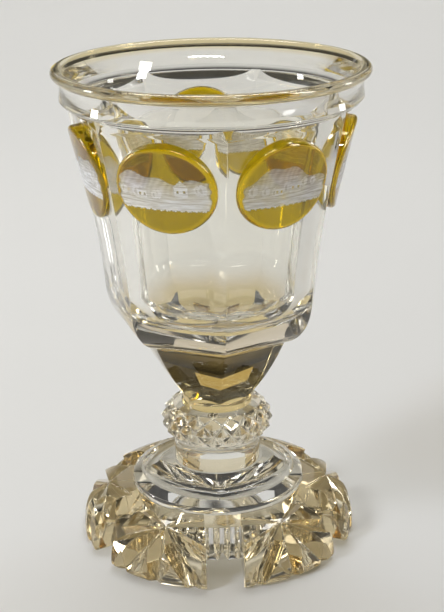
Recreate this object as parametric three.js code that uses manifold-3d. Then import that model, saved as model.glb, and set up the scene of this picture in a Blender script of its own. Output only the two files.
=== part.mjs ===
// Seven-sided crystal goblet. The bowl has seven flat panels under a plain rim band, with a
// raised medallion on each panel. It stands on a diamond-cut knop, a plain stem collar and a
// foot whose six lobes are cut as fans, with a star cut under it.
// Lengths are millimetres. +Z is up. The origin is on the table under the goblet's axis, and
// an edge between two bowl panels faces -Y.

import * as THREE from "three";
import { mergeVertices } from "three/addons/utils/BufferGeometryUtils.js";
import Module from "manifold-3d";

const wasm = await Module();
wasm.setup();

// Around the axis
const SIDES = 7;
const LOBES = 6;
const FOOT_TURN = -3;
const ROUND_STEPS = 56;
const FOOT_STEPS = 48;

// Heights, stacked from the table to the lip
const FOOT_HEIGHT = 24.3;
const COLLAR_HEIGHT = 9;
const KNOP_HEIGHT = 10.2;
const NECK_HEIGHT = 2.8;
const FUNNEL_HEIGHT = 21.3;
const SHOULDER_HEIGHT = 12.4;
const FLARE_HEIGHT = 60.8;
const BAND_HEIGHT = 3.7;
const LIP_HEIGHT = 5.2;

// Bowl radii, measured to the arrises between the panels where the bowl is seven-sided
const NECK_RADIUS = 11;
const CREASE_RADIUS = 24.7;
const WAIST_RADIUS = 34;
const FLARE_RADIUS = 44.6;
const BLANK_RADIUS = 43.7;
const BAND_RADIUS = 44.6;
const LIP_RADIUS = 46.9;
const LIP_INNER_RADIUS = 43.4;
const LIP_FULLNESS = 0.5;

// Bowl walls
const PANEL_WALL = 2.2;
const FLOOR_RISE = 7;
const BLANK_TAPER = 0.04;

// Medallions
const MEDALLION_WIDTH = 29.6;
const MEDALLION_LENGTH = 26.6;
const MEDALLION_PROUD = 2.9;
const MEDALLION_DROP = 18.8;
const SEAT_GAP = 0.3;

// Stem
const COLLAR_RADIUS = 13.5;
const COLLAR_CHAMFER = 0.7;
const KNOP_RADIUS = 17.8;
const KNOP_TOP_RADIUS = 15.3;
const KNOP_UNDER_RADIUS = 15.1;
const KNOP_WAIST_SHARE = 0.45;
const DIAMONDS = 18;
const DIAMOND_DEPTH = 1.2;
const DIAMOND_WIDTH = 5;
const DIAMOND_TILT = 62;
const DIAMOND_RING_RISE = 10.5;

// Foot
const FOOT_RADIUS = 43.4;
const FOOT_EDGE = 0.8;
const LOBE_TOP = 16.9;
const DISC_RADIUS = 27.4;
const DISC_EDGE_TOP = 18.8;
const DISC_EDGE_UNDER = 16.4;
const HUB_RADIUS = 25.6;
const HUB_WALL = 11.5;
const SEAT_MARGIN = 0.8;
const GAP_WIDTH = 11.4;
const LENSES = 4;
const LENS_DEPTH = 1.2;
const LENS_REACH = 19.2;
const LENS_SWEEP = 34;
const LENS_HOLLOW = 8.5;
const FAN_REACH = 35;
const NOTCH_REACH = 42.2;
const SIDE_NOTCH_REACH = 42;
const SIDE_NOTCH_ANGLE = 17;
const MITRE_OPENING = 64;
const BRANCH_OPENING = 66;
const BRANCH_START = 28.5;
const BRANCH_START_DEPTH = 1.3;
const BRANCH_END = 37.5;
const BRANCH_END_Z = 9.5;
const GAP_FLUTES = 3;
const GAP_FLUTE_DEPTH = 0.6;
const STAR_WIDTH = 3.6;
const STAR_DEPTH = 2.9;
const STAR_START = 6;

// Levels and angles that follow from them
const COLLAR_Z = FOOT_HEIGHT;
const KNOP_Z = COLLAR_Z + COLLAR_HEIGHT;
const NECK_Z = KNOP_Z + KNOP_HEIGHT;
const FUNNEL_Z = NECK_Z + NECK_HEIGHT;
const CREASE_Z = FUNNEL_Z + FUNNEL_HEIGHT;
const WAIST_Z = CREASE_Z + SHOULDER_HEIGHT;
const LEDGE_Z = WAIST_Z + FLARE_HEIGHT;
const LIP_Z = LEDGE_Z + BAND_HEIGHT;
const RIM_Z = LIP_Z + LIP_HEIGHT;
const MEDALLION_Z = LEDGE_Z - MEDALLION_DROP;
const SIDE_ANGLE = (2 * Math.PI) / SIDES;
const LOBE_ANGLE = (2 * Math.PI) / LOBES;
const FLAT_SHARE = Math.cos(SIDE_ANGLE / 2);
const CLEAR = 1;

const at = (radius, z) => new THREE.Vector2(radius, z);

// A closed geometry as a solid that can be joined and cut.
function solid(geometry) {
  const bare = geometry.clone();
  bare.deleteAttribute("normal");
  bare.deleteAttribute("uv");
  const merged = mergeVertices(bare, 1e-4);
  return new wasm.Manifold(
    new wasm.Mesh({
      numProp: 3,
      vertProperties: merged.attributes.position.array,
      triVerts: new Uint32Array(merged.index.array),
    }),
  );
}

// A solid as a geometry again.
function geometryOf(shape) {
  const mesh = shape.getMesh();
  const geometry = new THREE.BufferGeometry();
  geometry.setAttribute("position", new THREE.BufferAttribute(mesh.vertProperties, mesh.numProp));
  geometry.setIndex(new THREE.BufferAttribute(mesh.triVerts, 1));
  return geometry;
}

const joinAll = (shapes) => shapes.reduce((whole, shape) => whole.add(shape));

// A turned solid. An outline runs from the axis at the bottom to the axis at the top.
function turned(outline, steps = ROUND_STEPS) {
  return solid(new THREE.LatheGeometry(outline, steps).rotateX(Math.PI / 2));
}

// Places a geometry made along +Y (radially outwards) at an angle round the goblet, where
// angle zero faces -Y.
const around = (geometry, angle) => geometry.rotateZ(Math.PI + angle);

// Angles round the goblet of a bowl panel, of a gap in the foot and of a foot lobe.
const panelAngle = (side) => (side + 0.5) * SIDE_ANGLE;
const gapAngle = (lobe) => THREE.MathUtils.degToRad(FOOT_TURN) + lobe * LOBE_ANGLE;
const lobeAngle = (lobe) => gapAngle(lobe) + LOBE_ANGLE / 2;
const counted = (count) => Array.from({ length: count }, (_, index) => index);

// The arris line of the bowl from its waist to the ledge under the rim band.
function flareCurve() {
  const rise = FLARE_HEIGHT;
  const spread = FLARE_RADIUS - WAIST_RADIUS;
  return new THREE.CubicBezierCurve(
    at(WAIST_RADIUS, WAIST_Z),
    at(WAIST_RADIUS + 0.11 * spread, WAIST_Z + 0.28 * rise),
    at(WAIST_RADIUS + 0.6 * spread, WAIST_Z + 0.69 * rise),
    at(FLARE_RADIUS, LEDGE_Z),
  );
}

// The arris line where the bowl rounds under, from its crease to the waist.
function shoulderCurve() {
  const spread = WAIST_RADIUS - CREASE_RADIUS;
  return new THREE.CubicBezierCurve(
    at(CREASE_RADIUS, CREASE_Z),
    at(CREASE_RADIUS + 0.6 * spread, CREASE_Z + 0.14 * SHOULDER_HEIGHT),
    at(CREASE_RADIUS + 0.92 * spread, CREASE_Z + 0.53 * SHOULDER_HEIGHT),
    at(WAIST_RADIUS, WAIST_Z),
  );
}

// The arris line of the funnel between the neck and the crease.
function funnelCurve() {
  return new THREE.QuadraticBezierCurve(
    at(NECK_RADIUS, FUNNEL_Z),
    at(
      THREE.MathUtils.lerp(NECK_RADIUS, CREASE_RADIUS, 0.58),
      THREE.MathUtils.lerp(FUNNEL_Z, CREASE_Z, 0.4),
    ),
    at(CREASE_RADIUS, CREASE_Z),
  );
}

// The bowl's seven-sided body, moved outwards by a clearance.
function panelledBody(clearance = 0) {
  const outline = [
    ...funnelCurve().getPoints(8),
    ...shoulderCurve().getPoints(8).slice(1),
    ...flareCurve().getPoints(12).slice(1),
  ].map((point) => at(point.x + clearance / FLAT_SHARE, point.y));
  return turned([at(0, FUNNEL_Z), ...outline, at(0, LEDGE_Z)], SIDES);
}

// The round blank that caps the arrises near the ledge.
function blank() {
  const low = WAIST_Z;
  const foot = BLANK_RADIUS - BLANK_TAPER * (LEDGE_Z - low);
  return turned([
    at(0, NECK_Z),
    at(foot, NECK_Z),
    at(foot, low),
    at(BLANK_RADIUS, LEDGE_Z),
    at(0, LEDGE_Z),
  ]);
}

// The plain band and the rounded lip over it.
function rim() {
  const bead = new THREE.CubicBezierCurve(
    at(BAND_RADIUS, LIP_Z),
    at(LIP_RADIUS + LIP_FULLNESS, LIP_Z + 0.25 * LIP_HEIGHT),
    at(LIP_RADIUS + LIP_FULLNESS, RIM_Z),
    at((LIP_RADIUS + LIP_INNER_RADIUS) / 2, RIM_Z),
  );
  return turned([
    at(0, LEDGE_Z),
    at(BAND_RADIUS, LEDGE_Z),
    ...bead.getPoints(6),
    at(0, RIM_Z),
  ]);
}

// The space inside the cup: a rounded floor, walls that follow the panels, a flared mouth.
function cupSpace() {
  const floor = CREASE_Z + FLOOR_RISE;
  const wall = flareCurve()
    .getPoints(7)
    .map((point) => at(point.x * FLAT_SHARE - PANEL_WALL, point.y));
  const bottom = new THREE.CubicBezierCurve(
    at(0, floor),
    at(0.65 * wall[0].x, floor),
    at(wall[0].x, floor),
    wall[0],
  );
  const inLip = RIM_Z - 0.15 * LIP_HEIGHT;
  const last = wall[wall.length - 1];
  const mouth = new THREE.QuadraticBezierCurve(
    last,
    at(0.55 * last.x + 0.45 * LIP_INNER_RADIUS, LIP_Z),
    at(LIP_INNER_RADIUS, inLip),
  );
  const lipTop = (LIP_RADIUS + LIP_INNER_RADIUS) / 2;
  return turned([
    ...bottom.getPoints(6),
    ...wall.slice(1),
    ...mouth.getPoints(3).slice(1),
    at(THREE.MathUtils.lerp(LIP_INNER_RADIUS, lipTop, 0.3), RIM_Z - 0.04 * LIP_HEIGHT),
    at(lipTop, RIM_Z),
    at(lipTop, RIM_Z + CLEAR),
    at(0, RIM_Z + CLEAR),
  ]);
}

function bowlSolid() {
  const neck = turned([
    at(0, NECK_Z),
    at(NECK_RADIUS, NECK_Z),
    at(NECK_RADIUS, (FUNNEL_Z + CREASE_Z) / 2),
    at(0, (FUNNEL_Z + CREASE_Z) / 2),
  ]);
  return panelledBody().intersect(blank()).add(rim()).add(neck).subtract(cupSpace());
}

// A medallion left proud of its panel. Its outline is nearly round, and its face is turned to
// a line that keeps the same height over the middle of the panel.
function medallionSolid(side) {
  const curve = flareCurve();
  const share = (MEDALLION_Z - WAIST_Z) / FLARE_HEIGHT;
  const slope = curve.getTangent(share);
  const faceLine = curve
    .getPoints(8)
    .map((point) => at(point.x * FLAT_SHARE + MEDALLION_PROUD, point.y));
  const face = turned([at(0, WAIST_Z), ...faceLine, at(0, LEDGE_Z)]);
  const reach = 2 * MEDALLION_PROUD + curve.getPoint(share).x;
  const disc = new THREE.CylinderGeometry(0.5, 0.5, 1, 32);
  disc.scale(MEDALLION_WIDTH, 6 * MEDALLION_PROUD, MEDALLION_LENGTH);
  disc.rotateX(-Math.atan2(slope.x, slope.y));
  disc.translate(0, reach - 4 * MEDALLION_PROUD, MEDALLION_Z);
  around(disc, panelAngle(side));
  return solid(disc).intersect(face).subtract(panelledBody(SEAT_GAP));
}

// One V-edged ring, tilted across the knop. Turned round the axis in steps, the rings cut
// grooves that cross and leave pointed diamonds.
function diamondRing(index, centreZ) {
  const valley = KNOP_RADIUS - DIAMOND_DEPTH;
  const outside = KNOP_RADIUS + 2 * DIAMOND_DEPTH;
  const flare = (DIAMOND_WIDTH / 2) * ((outside - valley) / DIAMOND_DEPTH);
  const ring = new THREE.LatheGeometry(
    [at(valley, 0), at(outside, -flare), at(outside, flare), at(valley, 0)],
    28,
  );
  ring.scale(1, 1, DIAMOND_RING_RISE / valley);
  ring.rotateX(THREE.MathUtils.degToRad(90 - DIAMOND_TILT));
  ring.rotateZ((index * 2 * Math.PI) / DIAMONDS);
  ring.translate(0, 0, centreZ);
  return solid(ring);
}

function knopSolid() {
  const middle = KNOP_Z + KNOP_WAIST_SHARE * KNOP_HEIGHT;
  const under = KNOP_Z + 0.04 * KNOP_HEIGHT;
  const top = NECK_Z - 0.04 * KNOP_HEIGHT;
  const lower = new THREE.CubicBezierCurve(
    at(KNOP_UNDER_RADIUS, under),
    at(KNOP_RADIUS - 0.4, THREE.MathUtils.lerp(under, middle, 0.2)),
    at(KNOP_RADIUS, THREE.MathUtils.lerp(under, middle, 0.55)),
    at(KNOP_RADIUS, middle),
  );
  const upper = new THREE.CubicBezierCurve(
    at(KNOP_RADIUS, middle),
    at(KNOP_RADIUS, THREE.MathUtils.lerp(middle, top, 0.6)),
    at(KNOP_RADIUS - 0.4, THREE.MathUtils.lerp(middle, top, 0.85)),
    at(KNOP_TOP_RADIUS, top),
  );
  const body = turned([
    at(0, KNOP_Z),
    at(COLLAR_RADIUS, KNOP_Z),
    ...lower.getPoints(3),
    ...upper.getPoints(3).slice(1),
    at(NECK_RADIUS + SEAT_MARGIN, NECK_Z),
    at(0, NECK_Z),
  ]);
  const rings = counted(DIAMONDS).map((index) => diamondRing(index, middle));
  return body.subtract(joinAll(rings));
}

function collarSolid() {
  return turned([
    at(0, COLLAR_Z),
    at(COLLAR_RADIUS, COLLAR_Z),
    at(COLLAR_RADIUS, KNOP_Z - COLLAR_CHAMFER),
    at(COLLAR_RADIUS - COLLAR_CHAMFER, KNOP_Z),
    at(0, KNOP_Z),
  ]);
}

// The outer line of the lobes, from the edge on the table up to the disc.
function browCurve() {
  const spread = FOOT_RADIUS - DISC_RADIUS;
  return new THREE.CubicBezierCurve(
    at(FOOT_RADIUS, FOOT_EDGE),
    at(FOOT_RADIUS - 0.025 * spread, 0.64 * LOBE_TOP),
    at(FOOT_RADIUS - 0.25 * spread, 0.935 * LOBE_TOP),
    at(DISC_RADIUS, LOBE_TOP),
  );
}

// The height of the brow at a radius.
function browHeight(radius) {
  const line = browCurve().getPoints(64);
  const next = line.findIndex((point) => point.x <= radius);
  return line[next].y;
}

// The turned shape that the lobes are cut from.
function lobeBlank() {
  const brow = browCurve().getPoints(7);
  return turned([at(0, 0), at(FOOT_RADIUS, 0), ...brow, at(0, LOBE_TOP)], FOOT_STEPS);
}

// A straight slot that leaves a gap between two lobes, outside the hub's wall.
function gapCut(lobe) {
  const length = FOOT_RADIUS;
  const slot = new THREE.BoxGeometry(GAP_WIDTH, length, 2 * FOOT_HEIGHT);
  slot.translate(0, length / 2 + HUB_RADIUS / 2, 0);
  return solid(around(slot, gapAngle(lobe)));
}

// The round hub and the disc over it. The wall leans out under the disc's edge.
function hub() {
  const seat = COLLAR_RADIUS + SEAT_MARGIN;
  const dome = new THREE.QuadraticBezierCurve(
    at(DISC_RADIUS, DISC_EDGE_TOP),
    at(
      THREE.MathUtils.lerp(DISC_RADIUS, seat, 0.35),
      THREE.MathUtils.lerp(DISC_EDGE_TOP, FOOT_HEIGHT, 0.55),
    ),
    at(seat, FOOT_HEIGHT),
  );
  const outline = [
    at(0, 0),
    at(HUB_RADIUS, 0),
    at(HUB_RADIUS, HUB_WALL),
    at(DISC_RADIUS, DISC_EDGE_UNDER),
    ...dome.getPoints(4),
    at(0, FOOT_HEIGHT),
  ];
  return turned(outline, FOOT_STEPS);
}

// A shallow curved lens cut into the slope of the disc. A large ring with a hollow grinding
// edge stands off the axis, so the cut fades out towards its two ends.
function lensCut(index) {
  const seat = COLLAR_RADIUS + SEAT_MARGIN;
  const slope = Math.atan2(FOOT_HEIGHT - DISC_EDGE_TOP, DISC_RADIUS - seat);
  const surface = DISC_EDGE_TOP + Math.tan(slope) * (DISC_RADIUS - LENS_REACH);
  const lift = LENS_HOLLOW - LENS_DEPTH;
  const ring = new THREE.TorusGeometry(LENS_SWEEP, LENS_HOLLOW, 22, 60);
  ring.translate(
    0,
    LENS_REACH + lift * Math.sin(slope) - LENS_SWEEP,
    surface + lift * Math.cos(slope),
  );
  return solid(around(ring, gapAngle(0) + ((index + 0.5) * 2 * Math.PI) / LENSES));
}

// A point at a distance from the axis, an angle from the lobe's middle and a height.
function onLobe(radius, degrees, z) {
  const angle = THREE.MathUtils.degToRad(degrees);
  return new THREE.Vector3(radius * Math.sin(angle), radius * Math.cos(angle), z);
}

// A point on a lobe's side wall, where hand says which of its two walls.
function onSideWall(hand, distance, z) {
  const along = new THREE.Vector3(hand * Math.sin(LOBE_ANGLE / 2), Math.cos(LOBE_ANGLE / 2), 0);
  const inwards = new THREE.Vector3(-hand * along.y, hand * along.x, 0);
  const point = along.multiplyScalar(distance).addScaledVector(inwards, GAP_WIDTH / 2);
  return point.setZ(z);
}

// A mitre: a straight V cut whose edge runs from one point to another and opens outwards.
function mitre(from, to, opening) {
  const along = to.clone().sub(from);
  const length = along.length();
  along.normalize();
  const upwards = from.clone().add(to).setZ(FOOT_RADIUS);
  const outwards = upwards.addScaledVector(along, -upwards.dot(along)).normalize();
  const across = outwards.clone().cross(along);
  const height = 2 * LOBE_TOP;
  const half = height * Math.tan(THREE.MathUtils.degToRad(opening / 2));
  const section = new THREE.Shape([at(0, 0), at(half, height), at(-half, height)]);
  const wedge = new THREE.ExtrudeGeometry(section, { depth: length * 1.5, bevelEnabled: false });
  wedge.applyMatrix4(new THREE.Matrix4().makeBasis(across, outwards, along).setPosition(from));
  return wedge;
}

// The fan on one lobe. Mitres spread from its apex to notches in the outer edge, and on each
// side one branch runs back to the disc and one forward to the side wall.
function fanCuts(lobe) {
  const apex = onLobe(FAN_REACH, 0, browHeight(FAN_REACH));
  const cuts = [mitre(apex, onLobe(NOTCH_REACH, 0, 0), MITRE_OPENING)];
  for (const hand of [-1, 1]) {
    const notch = onLobe(SIDE_NOTCH_REACH, hand * SIDE_NOTCH_ANGLE, 0);
    const back = onSideWall(hand, BRANCH_START, LOBE_TOP - BRANCH_START_DEPTH);
    const side = onSideWall(hand, BRANCH_END, BRANCH_END_Z);
    cuts.push(mitre(apex, notch, MITRE_OPENING));
    cuts.push(mitre(apex, back, BRANCH_OPENING));
    cuts.push(mitre(apex, side, BRANCH_OPENING));
  }
  return joinAll(cuts.map((cut) => solid(around(cut, lobeAngle(lobe)))));
}

// Upright flutes on the hub's wall where a gap shows it.
function gapFlutes(lobe) {
  const pitch = GAP_WIDTH / GAP_FLUTES;
  const radius = (pitch * pitch) / (8 * GAP_FLUTE_DEPTH) + GAP_FLUTE_DEPTH / 2;
  const flutes = [];
  for (let flute = 0; flute < GAP_FLUTES; flute += 1) {
    const offset = (flute - (GAP_FLUTES - 1) / 2) * pitch;
    const wall = Math.sqrt(HUB_RADIUS * HUB_RADIUS - offset * offset);
    const column = new THREE.CylinderGeometry(radius, radius, 2 * HUB_WALL, 16);
    column.rotateX(Math.PI / 2);
    column.translate(offset, wall + radius - GAP_FLUTE_DEPTH, 0);
    flutes.push(solid(around(column, gapAngle(lobe))));
  }
  return joinAll(flutes);
}

// One ray of the star under the foot. It deepens from the middle to the gap's wall.
function starRay(lobe) {
  const reach = HUB_RADIUS + CLEAR;
  const section = new THREE.Shape([
    at(-STAR_WIDTH, -STAR_DEPTH),
    at(STAR_WIDTH, -STAR_DEPTH),
    at(0, STAR_DEPTH),
  ]);
  const length = reach - STAR_START;
  const ray = new THREE.ExtrudeGeometry(section, { depth: length, bevelEnabled: false });
  ray.rotateX(Math.PI / 2);
  ray.rotateZ(Math.PI);
  ray.translate(0, -length, 0);
  ray.rotateX(Math.atan2(STAR_DEPTH, length));
  ray.translate(0, reach, 0);
  return solid(around(ray, gapAngle(lobe)));
}

function footSolid() {
  const allLobes = counted(LOBES);
  const lobes = lobeBlank()
    .subtract(joinAll(allLobes.map(gapCut)))
    .subtract(joinAll(allLobes.map(fanCuts)));
  const centre = hub()
    .subtract(joinAll(counted(LENSES).map(lensCut)))
    .subtract(joinAll(allLobes.map(gapFlutes)));
  return lobes.add(centre).subtract(joinAll(allLobes.map(starRay)));
}

const crystal = () =>
  new THREE.MeshStandardMaterial({ color: 0xe9eae4, roughness: 0.04, metalness: 0 });
const amberStain = () =>
  new THREE.MeshStandardMaterial({ color: 0xc79a1b, roughness: 0.12, metalness: 0 });

function node(name, shape, material) {
  const mesh = new THREE.Mesh(geometryOf(shape), material);
  mesh.name = name;
  return mesh;
}

const goblet = new THREE.Group();
const medallions = new THREE.Group();
counted(SIDES).forEach((side) => {
  medallions.add(node(`medallion_${side + 1}`, medallionSolid(side), amberStain()));
});
goblet.add(
  node("bowl", bowlSolid(), crystal()),
  medallions,
  node("knop", knopSolid(), crystal()),
  node("stem_collar", collarSolid(), crystal()),
  node("foot", footSolid(), crystal()),
);

export default goblet;
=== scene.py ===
"""A cut crystal goblet with amber medallions, dressed for its portrait.

Every form is a finer version of the fixed frame's own solids: turned blanks, seven ground
panels, diamonds cut by tilted wheels, and a foot whose lobes are cut as fans.
Sizes in the classes are millimetres, and meshes are metres.
"""

from __future__ import annotations

import logging
import math
from dataclasses import dataclass
from enum import Enum
from functools import cached_property
from typing import Any, Iterable, Sequence

import bmesh
import bpy
import numpy as np
from mathutils import Matrix, Vector

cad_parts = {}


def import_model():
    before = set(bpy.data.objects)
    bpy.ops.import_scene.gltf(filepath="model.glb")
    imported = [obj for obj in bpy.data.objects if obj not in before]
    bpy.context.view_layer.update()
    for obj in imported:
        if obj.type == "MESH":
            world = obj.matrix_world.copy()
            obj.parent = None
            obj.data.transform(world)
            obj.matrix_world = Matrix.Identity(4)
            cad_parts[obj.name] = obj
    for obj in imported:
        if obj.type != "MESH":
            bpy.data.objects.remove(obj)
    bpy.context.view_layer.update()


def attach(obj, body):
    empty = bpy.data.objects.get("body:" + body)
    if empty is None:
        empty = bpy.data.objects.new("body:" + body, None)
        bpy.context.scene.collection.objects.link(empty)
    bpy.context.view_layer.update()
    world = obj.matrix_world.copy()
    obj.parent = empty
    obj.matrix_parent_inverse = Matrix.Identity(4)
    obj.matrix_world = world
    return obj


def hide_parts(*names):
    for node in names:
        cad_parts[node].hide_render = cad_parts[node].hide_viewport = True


MM = 0.001
WELD = 1e-7
STEPS = 240
POLISHED_EDGE = math.radians(24)
ON_PLANE_MM = 0.005
LEVEL_NORMAL = 0.99
OUTWARD_MM = 1e-4
ROOT = "root"

Point = tuple[float, float]
Pairs = tuple[Point, ...]
Line = list[Point]
Solid = bpy.types.Object
Material = bpy.types.Material
Tree = bpy.types.NodeTree
Node = bpy.types.Node
Socket = bpy.types.NodeSocket
LOG = logging.getLogger("goblet")


class Joinery(Enum):
    """How two solids are combined."""

    JOIN = "UNION"
    CUT = "DIFFERENCE"
    COMMON = "INTERSECT"


class Slot(Enum):
    """The record's finishes."""

    CRYSTAL = "crystal"
    AMBER = "amber_stain"


class Reach(Enum):
    """What a lamp shows on: matt surfaces, reflections, and the inside of the glass."""

    MATT = (True, False, False)
    SURFACES = (True, True, False)
    MIRRORED = (False, True, False)
    GLASS = (False, True, True)


def linear(colour: str) -> tuple[float, float, float, float]:
    """Turns a hex sRGB colour into linear light.

    Args:
        colour: Six hex digits after a hash.

    Returns:
        Red, green, blue and full alpha.
    """
    shares = [int(colour[i : i + 2], 16) / 255 for i in (1, 3, 5)]
    light = [c / 12.92 if c <= 0.04045 else ((c + 0.055) / 1.055) ** 2.4 for c in shares]
    return light[0], light[1], light[2], 1.0


def cleared(owner: Material | bpy.types.World) -> Tree:
    """Gives a material or a world an empty node tree.

    Args:
        owner: The material or the world.

    Returns:
        Its tree.
    """
    owner.use_nodes = True
    owner.node_tree.nodes.clear()
    return owner.node_tree


def add(tree: Tree, kind: str, inputs: dict[str | int, Any] | None = None, **settings: Any) -> Node:
    """Adds a node with its settings and links.

    Args:
        tree: The tree it goes into.
        kind: Blender's name for the node.
        inputs: Socket name or number to a value, or to the node or socket that feeds it.
        **settings: The node's own properties.

    Returns:
        The node.
    """
    node = tree.nodes.new(kind)
    for name, value in settings.items():
        setattr(node, name, value)
    for key, value in (inputs or {}).items():
        source = value.outputs[0] if isinstance(value, Node) else value
        if isinstance(source, Socket):
            tree.links.new(source, node.inputs[key])
        else:
            node.inputs[key].default_value = source
    return node


def between(low: float, high: float, share: float) -> float:
    """The value at a share of the way from low to high."""
    return low + (high - low) * share


def bezier(handles: Sequence[Point], count: int) -> Line:
    """Points along the curve that a few handles pull.

    Args:
        handles: Three or four handles.
        count: How many steps it is divided into.

    Returns:
        One point more than the steps.
    """
    line = []
    for step in range(count + 1):
        level = [Vector(h) for h in handles]
        while len(level) > 1:
            level = [a.lerp(b, step / count) for a, b in zip(level, level[1:])]
        line.append((level[0].x, level[0].y))
    return line


def curve(start: Point, end: Point, pulls: Sequence[Point], count: int) -> Line:
    """Points along a curve between two ends, whose handles are shares of the way out and up."""
    handles = [(between(start[0], end[0], out), between(start[1], end[1], up)) for out, up in pulls]
    return bezier([start, *handles, end], count)


def circle(centre: float, radius: float, steps: int) -> Line:
    """Points of a circle whose middle is on the first axis."""
    angles = [math.tau * i / steps for i in range(steps)]
    return [(centre + radius * math.cos(t), radius * math.sin(t)) for t in angles]


def round_to(angle: float) -> Matrix:
    """Turns what is made along +Y to an angle round the axis, where zero faces -Y."""
    return Matrix.Rotation(math.pi + angle, 4, "Z")


def object_of(name: str, points: Iterable[Sequence[float]], faces: Iterable[Sequence[int]]) -> Solid:
    """Makes a linked object with faces that point outwards.

    Args:
        name: The object's name.
        points: Corners in metres.
        faces: Corner numbers of each face.

    Returns:
        The object, at the origin.
    """
    mesh = bpy.data.meshes.new(name)
    mesh.from_pydata([tuple(p) for p in points], [], [tuple(f) for f in faces])
    build = bmesh.new()
    build.from_mesh(mesh)
    bmesh.ops.remove_doubles(build, verts=build.verts, dist=WELD)
    bmesh.ops.recalc_face_normals(build, faces=build.faces)
    build.to_mesh(mesh)
    build.free()
    made = bpy.data.objects.new(name, mesh)
    bpy.context.scene.collection.objects.link(made)
    return made


def skin(rings: Sequence[range], steps: int) -> list[tuple[int, ...]]:
    """Faces between neighbouring rings of corners, where a ring may be one point.

    Args:
        rings: Each ring's corner numbers.
        steps: Facets in a ring.

    Returns:
        The corner numbers of each face.
    """
    faces = []
    for low, high in zip(rings, rings[1:]):
        for i in range(steps):
            j = (i + 1) % steps
            corners = (low[i % len(low)], low[j % len(low)], high[j % len(high)], high[i % len(high)])
            kept = tuple(dict.fromkeys(corners))
            if len(kept) > 2:
                faces.append(kept)
    return faces


def turned(name: str, outline: Line, steps: int = STEPS) -> Solid:
    """Turns an outline about the axis.

    Args:
        name: The object's name.
        outline: Radius and height pairs, from the axis below to the axis above, or a closed ring.
        steps: Facets round the axis.

    Returns:
        A closed solid.
    """
    angles = [math.tau * i / steps for i in range(steps)]
    points: list[tuple[float, float, float]] = []
    rings = []
    for radius, height in outline:
        ring = [(radius * math.sin(a), -radius * math.cos(a)) for a in angles]
        places = ring if radius * MM > WELD else [(0.0, 0.0)]
        rings.append(range(len(points), len(points) + len(places)))
        points += [(x * MM, y * MM, height * MM) for x, y in places]
    return object_of(name, points, skin(rings, steps))


def prism(name: str, section: Line, length: float, place: Matrix) -> Solid:
    """Extrudes a section along +Z and puts it in place.

    Args:
        name: The object's name.
        section: Corners of the section in its own plane.
        length: How far it runs.
        place: Where its plane goes, with lengths in millimetres.

    Returns:
        A closed solid.
    """
    count = len(section)
    points = [(place @ Vector((x, y, z))) * MM for z in (0.0, length) for x, y in section]
    ends = [range(count), range(count, 2 * count)]
    return object_of(name, points, [*ends, *skin(ends, count)])


def drop(*objects: Solid) -> None:
    """Removes objects that were only tools."""
    for each in objects:
        bpy.data.objects.remove(each)


def settle(piece: Solid) -> Solid:
    """Turns a piece's live modifiers into its plain mesh.

    Args:
        piece: The object to settle.

    Returns:
        The same object, with no modifier.
    """
    shape = piece.evaluated_get(bpy.context.evaluated_depsgraph_get())
    mesh = bpy.data.meshes.new_from_object(shape)
    piece.modifiers.clear()
    piece.data = mesh
    return piece


def combine(piece: Solid, other: Solid, how: Joinery) -> Solid:
    """Combines a piece with another solid, which is used up.

    Args:
        piece: The solid that is kept.
        other: The solid that joins or cuts it.
        how: The kind of joint.

    Returns:
        The piece.
    """
    modifier = piece.modifiers.new(how.name, "BOOLEAN")
    modifier.object = other
    modifier.operation = how.value
    modifier.solver = "MANIFOLD"
    settle(piece)
    drop(other)
    return piece


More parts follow.
